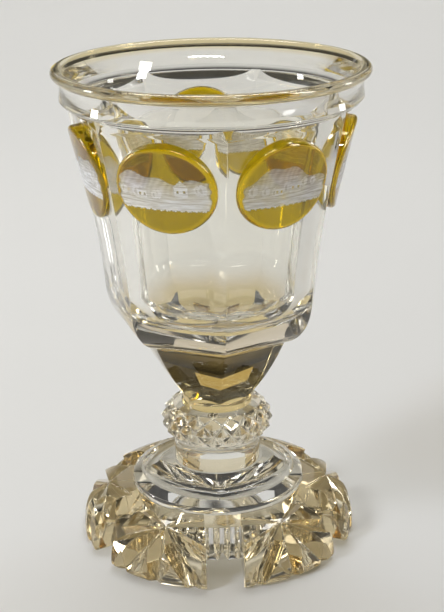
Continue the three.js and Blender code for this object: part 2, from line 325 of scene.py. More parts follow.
class RoundCut:
    """A wheel's cut that is repeated round the goblet's axis."""

    def __init__(self) -> None:
        """Builds the tree that every repeated cut uses."""
        tree = self.tree = bpy.data.node_groups.new("round_cut", "GeometryNodeTree")
        face = tree.interface
        face.new_socket("Geometry", in_out="OUTPUT", socket_type="NodeSocketGeometry")
        face.new_socket("Geometry", in_out="INPUT", socket_type="NodeSocketGeometry")
        kinds = {"Wheel": "Object", "Count": "Int", "First Angle": "Float", "Finish": "Material"}
        self.sockets = {
            name: face.new_socket(name, in_out="INPUT", socket_type=f"NodeSocket{kind}").identifier
            for name, kind in kinds.items()
        }
        source = add(tree, "NodeGroupInput").outputs
        step = add(tree, "ShaderNodeMath", {0: math.tau, 1: source["Count"]}, operation="DIVIDE")
        wheel = add(tree, "GeometryNodeObjectInfo", {"Object": source["Wheel"]}).outputs["Geometry"]
        # One turn of the loop is one stroke of the wheel, so strokes may cross each other.
        stroke = add(tree, "GeometryNodeRepeatInput")
        result = add(tree, "GeometryNodeRepeatOutput")
        stroke.pair_with_output(result)
        tree.links.new(source["Count"], stroke.inputs[0])
        tree.links.new(source["Geometry"], stroke.inputs["Geometry"])
        swings = {0: stroke, 1: step, 2: source["First Angle"]}
        swing = add(tree, "ShaderNodeMath", swings, operation="MULTIPLY_ADD")
        turn = add(tree, "ShaderNodeCombineXYZ", {"Z": swing})
        placed = add(tree, "GeometryNodeTransform", {"Geometry": wheel, "Rotation": turn})
        meshes = {"Mesh 1": stroke.outputs["Geometry"], "Mesh 2": placed}
        cut = add(tree, "GeometryNodeMeshBoolean", meshes, operation="DIFFERENCE", solver="MANIFOLD")
        tree.links.new(cut.outputs[0], result.inputs["Geometry"])
        whole = add(tree, "GeometryNodeRealizeInstances", {"Geometry": result.outputs["Geometry"]})
        dressed = add(tree, "GeometryNodeSetMaterial", {"Geometry": whole, "Material": source["Finish"]})
        add(tree, "NodeGroupOutput", {0: dressed})

    def apply(self, piece: Solid, wheel: Solid, count: int, first_angle: float, finish: Material) -> None:
        """Cuts a piece with copies of a wheel.

        Args:
            piece: What is cut.
            wheel: The solid of one cut, made along +Y. It is used up.
            count: Copies round the axis.
            first_angle: The first copy's angle from -Y.
            finish: The material of the result.
        """
        modifier = piece.modifiers.new(wheel.name, "NODES")
        modifier.node_group = self.tree
        values = {"Wheel": wheel, "Count": count, "First Angle": math.pi + first_angle, "Finish": finish}
        for name, value in values.items():
            modifier[self.sockets[name]] = value
        settle(piece)
        drop(wheel)


def shade(piece: Solid, edge: float = POLISHED_EDGE) -> None:
    """Merges doubles and keeps curved glass smooth and its cut edges crisp.

    Args:
        piece: The object to finish.
        edge: Faces that meet at more than this angle keep their edge.
    """
    build = bmesh.new()
    build.from_mesh(piece.data)
    bmesh.ops.remove_doubles(build, verts=build.verts, dist=WELD)
    bmesh.ops.dissolve_degenerate(build, edges=build.edges, dist=WELD)
    build.to_mesh(piece.data)
    build.free()
    piece.data.shade_smooth()
    piece.data.set_sharp_from_angle(angle=edge)


def assign(piece: Solid, material: Material, chosen: Iterable[int]) -> None:
    """Gives some faces another material.

    Args:
        piece: The object.
        material: Their material.
        chosen: Face numbers.
    """
    piece.data.materials.append(material)
    slot = len(piece.data.materials) - 1
    for number in chosen:
        piece.data.polygons[number].material_index = slot


def on_level(piece: Solid, level: float, radius: float) -> list[int]:
    """Faces that lie flat on a joint plane within a radius.

    Args:
        piece: The object.
        level: The plane's height.
        radius: The joint's radius.

    Returns:
        Face numbers.
    """
    flat = [f for f in piece.data.polygons if abs(f.normal.z) > LEVEL_NORMAL]
    near = [f for f in flat if abs(f.center.z / MM - level) < ON_PLANE_MM]
    return [f.index for f in near if f.center.xy.length / MM < radius]


def dress(piece: Solid, slot: Slot, *nodes: str) -> None:
    """Puts a finished piece in the frame.

    Args:
        piece: The piece.
        slot: The record's finish that it has. It is not used.
        *nodes: The frame's nodes that it stands for.
    """
    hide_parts(*nodes)
    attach(piece, ROOT)
    LOG.info("%s: %d faces for %s", piece.name, len(piece.data.polygons), ", ".join(nodes))


@dataclass(frozen=True)
class Sizes:
    """The goblet's driving sizes, shared by its classes."""

    sides: int = 7
    lobes: int = 6
    foot_turn: float = math.radians(-3)
    collar_z: float = 24.3
    knop_z: float = 33.3
    neck_z: float = 43.5
    funnel_z: float = 46.3
    crease_z: float = 67.6
    waist_z: float = 80.0
    ledge_z: float = 140.8
    lip_z: float = 146.4
    rim_z: float = 149.7
    neck_radius: float = 11.0
    collar_radius: float = 13.5
    collar_top_radius: float = 12.8

    @property
    def side_angle(self) -> float:
        """The angle of one bowl panel."""
        return math.tau / self.sides

    @property
    def lobe_angle(self) -> float:
        """The angle of one foot lobe."""
        return math.tau / self.lobes

    @property
    def flat_share(self) -> float:
        """How far out a panel's middle lies, as a share of its edge."""
        return math.cos(self.side_angle / 2)


@dataclass(frozen=True)
class LeadCrystal:
    """Lead crystal, ground on the wheel and polished by hand.

    It is clear, with a straw cast where it is thick, and its polish is never quite even, so
    what is seen through it ripples a little.
    """

    name: str = "polished_lead_crystal"
    tint: str = "#FAF9F4"
    shadow: str = "#ECEBE7"
    ior: float = 1.56
    ripple_mm: float = 9.0
    ripple_height_mm: float = 0.012
    soft_edge_mm: float = 0.2
    deep_tint: str = ""
    deep_below_mm: float = 65.0
    thin_above_mm: float = 81.0
    # The lip colour is a painted reflection of the medallions' gold.
    lip_painted_gold: str = "#F4E5B8"
    lip_below_mm: float = 146.2
    lip_above_mm: float = 147.2

    def make(self) -> Material:
        """Builds the material.

        Returns:
            The material.
        """
        material = bpy.data.materials.new(self.name)
        tree = cleared(material)
        place = add(tree, "ShaderNodeTexCoord").outputs["Object"]
        # Acid and felt leave each cut edge a little round, so it shows as a thin line of light.
        soft = add(tree, "ShaderNodeBevel", {"Radius": self.soft_edge_mm * MM}, samples=4)
        # The eye sees the polish as a slow waviness in each reflection.
        scale = 1 / (self.ripple_mm * MM)
        ripple = add(tree, "ShaderNodeTexNoise", {"Vector": place, "Scale": scale, "Detail": 1.0})
        height = self.ripple_height_mm * MM
        waves = {"Height": ripple, "Strength": 1.0, "Distance": height, "Normal": soft}
        bump = add(tree, "ShaderNodeBump", waves)
        colour = self.cast(tree, place) if self.deep_tint else linear(self.tint)
        clear = {"Base Color": colour, "Roughness": 0.0, "IOR": self.ior, "Transmission Weight": 1.0}
        glass = add(tree, "ShaderNodeBsdfPrincipled", {**clear, "Normal": bump})
        lit_through(tree, glass, self.shadow)
        return material

    def cast(self, tree: Tree, place: Socket) -> Socket:
        """The colour of a blank that is solid below and thin above, with a painted gold reflection along
        the lip.

        Args:
            tree: The material's tree.
            place: The place on the piece.

        Returns:
            The colour.
        """
        height = add(tree, "ShaderNodeSeparateXYZ", {0: place}).outputs["Z"]
        # The eye sees honey in the solid end of the bowl and none in its thin wall.
        wall = {"Value": height, "From Min": self.deep_below_mm * MM, "From Max": self.thin_above_mm * MM}
        thin = add(tree, "ShaderNodeMapRange", wall, interpolation_type="SMOOTHSTEP")
        tints = {0: thin, 6: linear(self.deep_tint), 7: linear(self.tint)}
        body = add(tree, "ShaderNodeMix", tints, data_type="RGBA").outputs[2]
        # Painted reflection: a warm gold is painted into the lip's colour for the gold of the medallions
        # that the round of the lip gathers.
        edge = {"Value": height, "From Min": self.lip_below_mm * MM, "From Max": self.lip_above_mm * MM}
        lip = add(tree, "ShaderNodeMapRange", edge)
        tints = {0: lip, 6: body, 7: linear(self.lip_painted_gold)}
        return add(tree, "ShaderNodeMix", tints, data_type="RGBA").outputs[2]


def lit_through(tree: Tree, surface: Node, tint: str) -> None:
    """Lets light reach the paper through glass, so that its shadow is light and not black.

    Args:
        tree: The material's tree.
        surface: The glass shader.
        tint: The colour of the light that passes.
    """
    clear = add(tree, "ShaderNodeBsdfTransparent", {"Color": linear(tint)})
    ray = add(tree, "ShaderNodeLightPath").outputs
    rays = {0: ray["Is Shadow Ray"], 1: ray["Is Diffuse Ray"]}
    straight = add(tree, "ShaderNodeMath", rays, operation="MAXIMUM")
    mixed = add(tree, "ShaderNodeMixShader", {0: straight, 1: surface, 2: clear})
    add(tree, "ShaderNodeOutputMaterial", {"Surface": mixed})


@dataclass(frozen=True)
class AmberStain:
    """Clear glass with a fired yellow stain, polished, and matt where it is engraved.

    The stain is golden and see-through. The wheel takes it off, so the engraving is silver.
    """

    name: str = "fired_amber_stain_on_glass"
    stain: str = "#825E00"
    # The edge colour is a painted highlight, brighter than the stain.
    edge: str = "#B98600"
    bare: str = "#F3F7FF"
    shadow: str = "#C9A24A"
    ior: float = 1.54
    matt_roughness: float = 0.5
    matt_clearness: float = 0.12
    stroke_mm: float = 0.42
    stroke_stretch: float = 12.0
    grain_range: Point = (0.36, 0.6)
    grain_low: float = 0.6

    def make(self) -> Material:
        """Builds the material.

        Returns:
            The material.
        """
        material = bpy.data.materials.new(self.name)
        tree = cleared(material)
        # A ring of brighter yellow is painted on the turned-down edge round the olive middle, as a painted
        # highlight.
        painted_ring = add(tree, "ShaderNodeAttribute", attribute_name="painted_ring").outputs["Fac"]
        tints = {0: painted_ring, 6: linear(self.stain), 7: linear(self.edge)}
        colour = add(tree, "ShaderNodeMix", tints, data_type="RGBA").outputs[2]
        clear = {"Base Color": colour, "Roughness": 0.0, "IOR": self.ior, "Transmission Weight": 1.0}
        glass = add(tree, "ShaderNodeBsdfPrincipled", clear)
        # Fine wheel strokes break the matt surface into silver and grey.
        flat = add(tree, "ShaderNodeUVMap", uv_map="face")
        scale = (1 / (self.stroke_stretch * self.stroke_mm), 1 / self.stroke_mm, 1)
        strokes = add(tree, "ShaderNodeMapping", {"Vector": flat, "Scale": scale})
        grain = add(tree, "ShaderNodeTexNoise", {"Vector": strokes, "Scale": 1.0, "Detail": 3.0})
        low, high = self.grain_range
        tones = {"Value": grain, "From Min": low, "From Max": high, "To Min": self.grain_low, "To Max": 1.0}
        light = add(tree, "ShaderNodeMapRange", tones)
        cut = add(tree, "ShaderNodeAttribute", attribute_name="engraving").outputs["Fac"]
        matt = add(tree, "ShaderNodeMath", {0: cut, 1: light}, operation="MULTIPLY", use_clamp=True)
        silver = {"Base Color": linear(self.bare), "Roughness": self.matt_roughness, "IOR": self.ior}
        silver["Transmission Weight"] = self.matt_clearness
        frost = add(tree, "ShaderNodeBsdfPrincipled", silver)
        surface = add(tree, "ShaderNodeMixShader", {0: matt, 1: glass, 2: frost})
        lit_through(tree, surface, self.shadow)
        return material


@dataclass(frozen=True)
class FusedJoint:
    """Where two forms of the same glass run into each other, which the eye can't see."""

    name: str = "fused_glass_joint"

    def make(self) -> Material:
        """Builds the material.

        Returns:
            The material.
        """
        material = bpy.data.materials.new(self.name)
        tree = cleared(material)
        add(tree, "ShaderNodeOutputMaterial", {"Surface": add(tree, "ShaderNodeBsdfTransparent")})
        return material


@dataclass(frozen=True)
class Finishes:
    """The materials that the pieces share."""

    bowl: Material
    crystal: Material
    knop: Material
    thick: Material
    amber: Material
    joint: Material


@dataclass
class FlareLine:
    """The line of a bowl panel's edge from the waist to the ledge."""

    sizes: Sizes
    waist_radius: float = 34.0
    flare_radius: float = 44.6
    pulls: Pairs = ((0.11, 0.28), (0.6, 0.69))

    def points(self, count: int) -> Line:
        """Points of the line, from the waist up."""
        start, end = (self.waist_radius, self.sizes.waist_z), (self.flare_radius, self.sizes.ledge_z)
        return curve(start, end, self.pulls, count)

    @cached_property
    def table(self) -> np.ndarray:
        """Radii and heights of the line, finely stepped."""
        return np.array(self.points(400)).T

    def radius_at(self, z: float | np.ndarray) -> float | np.ndarray:
        """The line's radius at a height."""
        radii, heights = self.table
        return np.interp(z, heights, radii)


@dataclass
class Medallion:
    """One raised medallion: a nearly round disc, a little domed across its panel."""

    sizes: Sizes
    line: FlareLine
    width: float = 29.7
    length: float = 26.6
    proud: float = 3.2
    drop: float = 18.8
    lean: float = 0.05
    dome_radius: float = 58.0
    sunk: float = 0.4
    bevel: float = 1.2
    bevel_steps: int = 7
    # Where the painted highlight ring starts on the face and how soon it is full.
    painted_ring_start: float = 0.87
    painted_ring_fade: float = 0.07
    joint_reach: float = 1.01
    joint_depth: float = 0.15
    joint_skin: float = 0.02
    slope_span: float = 4.0
    rings: int = 64
    spokes: int = 216

    def panel_at(self, z: float | np.ndarray) -> float | np.ndarray:
        """The panel's distance from the axis at a height."""
        return self.line.radius_at(z) * self.sizes.flat_share

    @cached_property
    def frame(self) -> tuple[np.ndarray, np.ndarray, np.ndarray]:
        """The panel's place, made along +Y.

        Returns:
            Its middle point, its up direction and its outward direction.
        """
        z, span = self.sizes.ledge_z - self.drop, self.slope_span
        slope = (self.panel_at(z + span) - self.panel_at(z - span)) / (2 * span)
        up = np.array((0, slope, 1)) / math.hypot(slope, 1)
        return np.array((0, self.panel_at(z), z)), up, np.array((0, up[2], -up[1]))

    def lift(self, v: np.ndarray) -> np.ndarray:
        """How far the panel lies off its middle plane at places along it."""
        middle, up, out = self.frame
        return (self.panel_at(middle[2] + up[2] * v) - middle[1] - up[1] * v) * out[1]

    def place(self, u: np.ndarray, v: np.ndarray, w: np.ndarray) -> np.ndarray:
        """Points from their places across, along and off the panel."""
        middle, up, out = self.frame
        return middle + np.outer(u, (1, 0, 0)) + np.outer(v, up) + np.outer(w, out)

    def shell(self, name: str, turn: Matrix, motif: Engraving | None) -> Solid:
        """Makes the closed disc.

        Args:
            name: The object's name.
            turn: Turns it to its panel.
            motif: The engraving that is stored on its face, or None for a plain tool.

        Returns:
            The disc, with the face's flat places and the engraving in its mesh.
        """
        angles = np.arange(self.spokes) * math.tau / self.spokes
        # Share of the radius, inset of the bevel, and height: off the panel, or under the face.
        rows = [(share, 0.0, -self.sunk, False) for share in (0.0, 0.5, 1.0)]
        rows.append((1.0, 0.0, 0.0, False))
        for step in range(self.bevel_steps):
            angle = math.pi / 2 * step / self.bevel_steps
            inset, fall = self.bevel * (1 - math.cos(angle)), self.bevel * (1 - math.sin(angle))
            rows.append((1.0, inset, -fall, True))
        face_row = len(rows)
        for ring in range(self.rings, -1, -1):
            rows.append((ring / self.rings, self.bevel * ring / self.rings, 0.0, True))
        points, flats, rings, count = [], [], [], 0
        for share, inset, height, on_face in rows:
            spokes = angles if share > 0 else angles[:1]
            u = (self.width / 2 * share - inset) * np.sin(spokes)
            v = (self.length / 2 * share - inset) * np.cos(spokes)
            dome = self.proud + self.lean * v - u * u / (2 * self.dome_radius) if on_face else 0
            rings.append(range(count, count + len(spokes)))
            count += len(spokes)
            points.append(self.place(u, v, self.lift(v) + dome + height))
            flats.append(np.column_stack((u, v)))
        turned_points = np.concatenate(points) @ np.array(turn.to_3x3()).T * MM
        made = object_of(name, turned_points.tolist(), skin(rings, self.spokes))
        if motif is not None:
            self.engrave(made, np.concatenate(flats), rings[face_row].start, motif)
        return made

    def engrave(self, disc: Solid, flats: np.ndarray, start: int, motif: Engraving) -> None:
        """Stores flat places, the engraving's tone and the share of the painted highlight ring in the mesh.

        Args:
            disc: The disc.
            flats: Across and along places of each corner.
            start: The first corner of the domed face.
            motif: The engraving.
        """
        mesh = disc.data
        tone = motif.tone(flats[:, 0], flats[:, 1])
        tone[:start] = 0
        # The outer share of the face takes the painted highlight ring.
        share = np.hypot(flats[:, 0] / self.width * 2, flats[:, 1] / self.length * 2)
        painted_ring = np.clip((share - self.painted_ring_start) / self.painted_ring_fade, 0, 1)
        for layer_name, values in (("engraving", tone), ("painted_ring", painted_ring)):
            layer = mesh.attributes.new(layer_name, "FLOAT", "POINT")
            layer.data.foreach_set("value", values.astype(np.float32))
        layer = mesh.uv_layers.new(name="face")
        corners = np.zeros(len(mesh.loops), dtype=np.int32)
        mesh.loops.foreach_get("vertex_index", corners)
        layer.data.foreach_set("uv", flats[corners].astype(np.float32).ravel())

    def joint_faces(self, piece: Solid, turn: Matrix) -> list[int]:
        """Faces of a mesh that lie in the disc's own pocket in the panel.

        Args:
            piece: The disc or the bowl.
            turn: The turn of the panel.

        Returns:
            Face numbers.
        """
        mesh = piece.data
        centres = np.zeros(len(mesh.polygons) * 3)
        mesh.polygons.foreach_get("center", centres)
        middle, up, out = self.frame
        offset = centres.reshape(-1, 3) / MM @ np.array(turn.to_3x3()) - middle
        u, v = offset[:, 0], offset @ up
        w = offset @ out - self.lift(v)
        inside = (u / self.width * 2) ** 2 + (v / self.length * 2) ** 2 < self.joint_reach
        below = (w > -self.sunk - self.joint_depth) & (w < -self.joint_skin)
        return np.nonzero(inside & below)[0].tolist()


def wavy(x: np.ndarray, waves: Pairs, phases: Sequence[float]) -> np.ndarray:
    """The sum of a few waves, each with a height and a rate."""
    return sum(height * np.sin(rate * x + phase) for (height, rate), phase in zip(waves, phases))


@dataclass(frozen=True)
class Engraving:
    """A generic view in a band across a medallion: hills, trees, a cottage and still water.

    Each tone says how matt the wheel leaves the face, from 0 for polished to 1. The hills and
    the bank have three: their own, what is added below their tops, and what each stroke adds.
    """

    seed: int
    half_width: float = 13.6
    hill_top: float = 5.0
    hill_fall: float = 0.014
    hill_waves: Pairs = ((1.7, 0.23), (0.6, 0.71))
    hill_fade: float = 3.5
    hill_tones: tuple[float, float, float] = (0.32, 0.34, 0.12)
    bank_top: float = -0.9
    bank_waves: Pairs = ((0.9, 0.19), (0.3, 0.9))
    bank_fade: float = 3.0
    bank_tones: tuple[float, float, float] = (0.6, 0.22, 0.22)
    ground: float = -5.5
    shore_waves: Pairs = ((0.16, 3.1), (0.12, 7.3))
    shore_width: float = 0.45
    trees: int = 10
    tree_spread: float = 12.0
    tree_sizes: Point = (0.8, 1.5)
    tree_stretch: float = 1.25
    leaf_tone: float = 0.92
    shade_tone: float = 0.62
    cottages: tuple[tuple[float, float, float], ...] = ((-7, -2, 1.9), (2, 7, 1.4))
    tile_tone: float = 0.58
    tile_contrast: float = 0.3
    pane_tone: float = 0.12

    def tone(self, u: np.ndarray, v: np.ndarray) -> np.ndarray:
        """How matt the face is at each place.

        Args:
            u: Places across the medallion.
            v: Places along it.

        Returns:
            The tones.
        """
        dice = np.random.default_rng(self.seed)
        phase = dice.uniform(0, math.tau, 8)
        grid = np.linspace(-15, 15, 301)
        bank = self.bank_top + wavy(grid, self.bank_waves, phase[2:])
        far = self.hill_top + wavy(u, self.hill_waves, phase) - self.hill_fall * u * u
        near = self.bank_top + wavy(u, self.bank_waves, phase[2:])
        shore = self.ground + wavy(u, self.shore_waves, phase[4:])
        # Slanting strokes that sway a little shade the hills, and level ones the bank.
        sway = wavy(u, ((1.6, 0.8),), phase[6:]) + wavy(v, ((1.1, 0.9),), phase[7:])
        hatch = 0.5 + 0.5 * np.sin(3.6 * (u + 0.35 * v) + sway)
        own, down, stroke = self.hill_tones
        shaded = own + down * np.clip((far - v) / self.hill_fade, 0, 1) + stroke * hatch
        tone = np.where((v < far) & (v > shore), shaded, 0.0)
        ripples = 0.5 + 0.5 * np.sin(4.4 * v + 0.8 * np.sin(0.45 * u + phase[7]) + 0.25 * np.sin(2.3 * u))
        own, down, stroke = self.bank_tones
        shaded = own + down * np.clip((near - v) / self.bank_fade, 0, 1) + stroke * ripples
        tone = np.where((v < near) & (v > shore), shaded, tone)
        ragged = 1 + 0.22 * np.sin(8 * u + 9 * v + phase[3])
        for x in dice.uniform(-self.tree_spread, self.tree_spread, self.trees):
            size = dice.uniform(*self.tree_sizes)
            base = float(np.interp(x, grid, bank))
            leafy = ((u - x) / size) ** 2 + ((v - base - size) / (size * self.tree_stretch)) ** 2
            tone = np.where(leafy < ragged, self.leaf_tone, tone)
            tone = np.where((leafy < 0.3) & (u > x), self.shade_tone, tone)
        for left, right, wide in self.cottages:
            x = dice.uniform(left, right)
            base = float(np.interp(x, grid, bank)) - 0.5
            eaves = base + 1.5 * wide
            wall = (abs(u - x) < wide) & (v > base) & (v < eaves)
            roof = (v >= eaves) & (v < eaves + 0.95 * (1.2 * wide - abs(u - x)))
            panes = (abs(abs(u - x) - 0.5 * wide) < 0.26) & (abs(v - base - 0.8 * wide) < 0.42)
            tone = np.where(wall, 1.0, tone)
            tone = np.where(roof, self.tile_tone + self.tile_contrast * (np.sin(11 * v) > 0), tone)
            tone = np.where(panes, self.pane_tone, tone)
        tone = np.where((v < shore + self.shore_width) & (v > shore), 1.0, tone)
        side = np.clip((self.half_width - abs(u) - 0.3 * np.sin(1.9 * v + phase[2])) / 0.9, 0, 1)
        return np.clip(tone * side, 0, 1)


@dataclass
class Bowl:
    """The seven-sided bowl with its rim band, lip and neck."""

    sizes: Sizes
    line: FlareLine
    medallions: Sequence[Medallion]
    finishes: Finishes
    crease_radius: float = 24.7
    funnel_pulls: Pairs = ((0.58, 0.4),)
    shoulder_pulls: Pairs = ((0.6, 0.14), (0.92, 0.53))
    blank_radius: float = 43.7
    blank_taper: float = 0.04
    band_radius: float = 44.6
    band_hollow: float = 0.25
    band_waist_rise: float = 0.4
    ledge_round: Pairs = ((0.12, 0.15), (0.08, 0.5))
    lip_radius: float = 46.9
    lip_inner_radius: float = 43.4
    lip_fullness: float = 0.48
    cove_height: float = 3.4
    cove_sunk: float = 0.5
    cove_pulls: Pairs = ((0.42, 0.14), (0.86, 0.56))
    panel_wall: float = 2.2
    floor_rise: float = 7.0
    floor_reach: float = 0.72
    arris: float = 0.3
    clear_to: float = 10.0

    def panels(self) -> Solid:
        """The seven-sided body, with its edges just taken off.

        Returns:
            A closed solid.
        """
        s = self.sizes
        crease = (self.crease_radius, s.crease_z)
        funnel = curve((s.neck_radius, s.funnel_z), crease, self.funnel_pulls, 24)
        shoulder = curve(crease, (self.line.waist_radius, s.waist_z), self.shoulder_pulls, 28)
        flare = self.line.points(48)
        outline = [(0.0, s.funnel_z), *funnel, *shoulder[1:], *flare[1:]]
        outline += [(flare[-1][0], s.ledge_z + 1), (0.0, s.ledge_z + 1)]
        body = turned("panels", outline, s.sides)
        modifier = body.modifiers.new("arris", "BEVEL")
        modifier.limit_method = "ANGLE"
        modifier.angle_limit = math.radians(40)
        modifier.width = self.arris * MM
        modifier.segments = 3
        return settle(body)

    def blank(self) -> Solid:
        """The round blank that caps the edges near the ledge.

        Returns:
            A closed solid.
        """
        s = self.sizes
        foot = self.blank_radius - self.blank_taper * (s.ledge_z - s.waist_z)
        top = s.ledge_z + 1
        outline = [(0.0, s.neck_z), (foot, s.neck_z), (foot, s.waist_z), (self.blank_radius, s.ledge_z)]
        return turned("blank", [*outline, (self.blank_radius, top), (0.0, top)])

    @property
    def brim(self) -> float:
        """The radius of the lip's highest line."""
        return (self.lip_radius + self.lip_inner_radius) / 2

    def rim(self) -> Solid:
        """The plain band and the rounded lip.

        Returns:
            A closed solid.
        """
        s, band = self.sizes, self.band_radius
        swell = self.lip_radius + self.lip_fullness
        outside = [(band, s.lip_z), (swell, between(s.lip_z, s.rim_z, 0.25)), (swell, s.rim_z)]
        bead = bezier([*outside, (self.brim, s.rim_z)], 24)
        # The wheel leaves each panel in a hollow sweep under the ledge.
        low = s.ledge_z - self.cove_height
        start = self.line.radius_at(low) * s.flat_share - self.cove_sunk
        cove = curve((start, low), (band, s.ledge_z), self.cove_pulls, 16)
        ledge = [(band + out, s.ledge_z + up) for out, up in self.ledge_round]
        waist = (band - self.band_hollow, (s.ledge_z + s.lip_z) / 2 + self.band_waist_rise)
        return turned("rim", [(0.0, low), *cove, *ledge, waist, *bead, (0.0, s.rim_z)])

    def neck(self) -> Solid:
        """The short round neck that stands on the knop.

        Returns:
            A closed solid.
        """
        s = self.sizes
        middle = (s.funnel_z + s.crease_z) / 2
        wall = [(s.neck_radius, s.neck_z), (s.neck_radius, middle)]
        return turned("neck", [(0.0, s.neck_z), *wall, (0.0, middle)])

    def hollow(self) -> Solid:
        """The space inside the cup.

        Returns:
            A closed solid.
        """
        s, inner, top = self.sizes, self.lip_inner_radius, self.brim
        floor = s.crease_z + self.floor_rise
        wall = [(r * s.flat_share - self.panel_wall, z) for r, z in self.line.points(30)[4:]]
        foot, last = wall[0], wall[-1]
        bottom = bezier([(0.0, floor), (self.floor_reach * foot[0], floor), (foot[0], floor + 1), foot], 36)
        mouth_end = (inner, between(s.rim_z, s.lip_z, 0.15))
        mouth = bezier([last, (between(last[0], inner, 0.45), s.lip_z), mouth_end], 14)
        lip = bezier([mouth[-1], (between(inner, top, 0.15), s.rim_z), (top, s.rim_z)], 8)
        above = [(top, s.rim_z + 1), (0.0, s.rim_z + 1)]
        return turned("hollow", [*bottom, *wall[1:], *mouth[1:], *lip[1:], *above])

    def inside(self, bowl: Solid) -> list[int]:
        """Faces of the cup's floor and of the lower part of its inner wall.

        Args:
            bowl: The bowl.

        Returns:
            Face numbers.
        """
        low = self.sizes.crease_z + self.floor_rise - 0.5
        high = self.sizes.waist_z + self.clear_to
        layer = [f for f in bowl.data.polygons if low < f.center.z / MM < high]
        return [f.index for f in layer if f.normal.xy.dot(f.center.xy) < OUTWARD_MM]

    def build(self, cuts: RoundCut) -> None:
        """Makes the bowl, with a shallow pocket where each medallion runs into it.

        Args:
            cuts: The repeated cut.
        """
        bowl = combine(self.panels(), self.blank(), Joinery.COMMON)
        combine(bowl, self.rim(), Joinery.JOIN)
        combine(bowl, self.neck(), Joinery.JOIN)
        combine(bowl, self.hollow(), Joinery.CUT)
        angle = self.sizes.side_angle
        turns = [angle / 2 + side * angle for side in range(self.sizes.sides)]
        for turn, medallion in zip(turns, self.medallions):
            pocket = medallion.shell("pocket", Matrix.Identity(4), None)
            cuts.apply(bowl, pocket, 1, turn, self.finishes.bowl)
        bowl.name = "bowl_glass"
        shade(bowl)
        # Only the outside of the solid end takes the honey cast, or the cup would look half full.
        assign(bowl, self.finishes.crystal, self.inside(bowl))
        joint = on_level(bowl, self.sizes.neck_z, self.sizes.neck_radius + 0.1)
        for turn, medallion in zip(turns, self.medallions):
            joint += medallion.joint_faces(bowl, round_to(turn))
        assign(bowl, self.finishes.joint, joint)
        dress(bowl, Slot.CRYSTAL, "bowl")


@dataclass
class MedallionSet:
    """The seven medallions, each with its own view."""

    sizes: Sizes
    medallions: Sequence[Medallion]
    finishes: Finishes
    first_seed: int = 11

    def build(self) -> None:
        """Makes and dresses every medallion."""
        for side, medallion in enumerate(self.medallions):
            turn = round_to((side + 0.5) * self.sizes.side_angle)
            name = f"medallion_{side + 1}_glass"
            disc = medallion.shell(name, turn, Engraving(self.first_seed + side))
            disc.data.materials.append(self.finishes.amber)
            disc.data.shade_smooth()
            disc.data.set_sharp_from_angle(angle=POLISHED_EDGE)
            assign(disc, self.finishes.joint, medallion.joint_faces(disc, turn))
            dress(disc, Slot.AMBER, f"medallion_{side + 1}")


@dataclass
class Stem:
    """The diamond-cut knop and the plain collar under it."""

    sizes: Sizes
    finishes: Finishes
    knop_radius: float = 17.8
    shoulder_radius: float = 17.4
    top_radius: float = 15.3
    under_radius: float = 15.1
    waist_share: float = 0.45
    seat_share: float = 0.04
    seat_width: float = 0.8
    diamonds: int = 18
    diamond_depth: float = 1.2
    diamond_width: float = 5.0
    diamond_tilt: float = math.radians(47)
    diamond_edge: float = math.radians(12)
    ring_rise: float = 11.7

    def diamond_ring(self, centre_z: float) -> Solid:
        """One V-edged wheel's path, tilted across the knop.

        Args:
            centre_z: The height of its middle.

        Returns:
            A closed ring.
        """
        valley = self.knop_radius - self.diamond_depth
        outside = self.knop_radius + 2 * self.diamond_depth
        flare = (self.diamond_width / 2) * ((outside - valley) / self.diamond_depth)
        ring = turned("diamond_ring", [(valley, 0), (outside, -flare), (outside, flare), (valley, 0)], 120)
        lift, tilt = Matrix.Translation((0, 0, centre_z * MM)), Matrix.Rotation(self.diamond_tilt, 4, "X")
        ring.data.transform(lift @ tilt @ Matrix.Scale(self.ring_rise / valley, 4, (0, 1, 0)))
        return ring

    def knop(self, cuts: RoundCut) -> None:
        """Makes and dresses the knop.

        Args:
            cuts: The repeated cut.
        """
        s, wide, shoulder = self.sizes, self.knop_radius, self.shoulder_radius
        height = s.neck_z - s.knop_z
        middle = s.knop_z + self.waist_share * height
        low, high = s.knop_z + self.seat_share * height, s.neck_z - self.seat_share * height
        rise = [(shoulder, between(low, middle, 0.2)), (wide, between(low, middle, 0.55))]
        fall = [(wide, between(middle, high, 0.6)), (shoulder, between(middle, high, 0.85))]
        lower = bezier([(self.under_radius, low), *rise, (wide, middle)], 16)
        upper = bezier([(wide, middle), *fall, (self.top_radius, high)], 16)
        foot = [(0.0, s.knop_z), (s.collar_top_radius, s.knop_z), (s.collar_radius, s.knop_z)]
        seat = [(s.neck_radius + self.seat_width, s.neck_z), (s.neck_radius, s.neck_z), (0.0, s.neck_z)]
        knop = turned("knop_glass", [*foot, *lower, *upper[1:], *seat])
        cuts.apply(knop, self.diamond_ring(middle), self.diamonds, 0.0, self.finishes.knop)
        shade(knop, self.diamond_edge)
        joint = on_level(knop, s.neck_z, s.neck_radius) + on_level(knop, s.knop_z, s.collar_top_radius)
        assign(knop, self.finishes.joint, joint)
        dress(knop, Slot.CRYSTAL, "knop")

    def collar(self) -> None:
        """Makes and dresses the collar."""
        s = self.sizes
        wide, narrow = s.collar_radius, s.collar_top_radius
        wall = [(wide, s.collar_z), (wide, s.knop_z - (wide - narrow)), (narrow, s.knop_z)]
        collar = turned("stem_collar_glass", [(0.0, s.collar_z), *wall, (0.0, s.knop_z)])
        collar.data.materials.append(self.finishes.crystal)
        shade(collar)
        joint = on_level(collar, s.collar_z, wide) + on_level(collar, s.knop_z, narrow)
        assign(collar, self.finishes.joint, joint)
        dress(collar, Slot.CRYSTAL, "stem_collar")


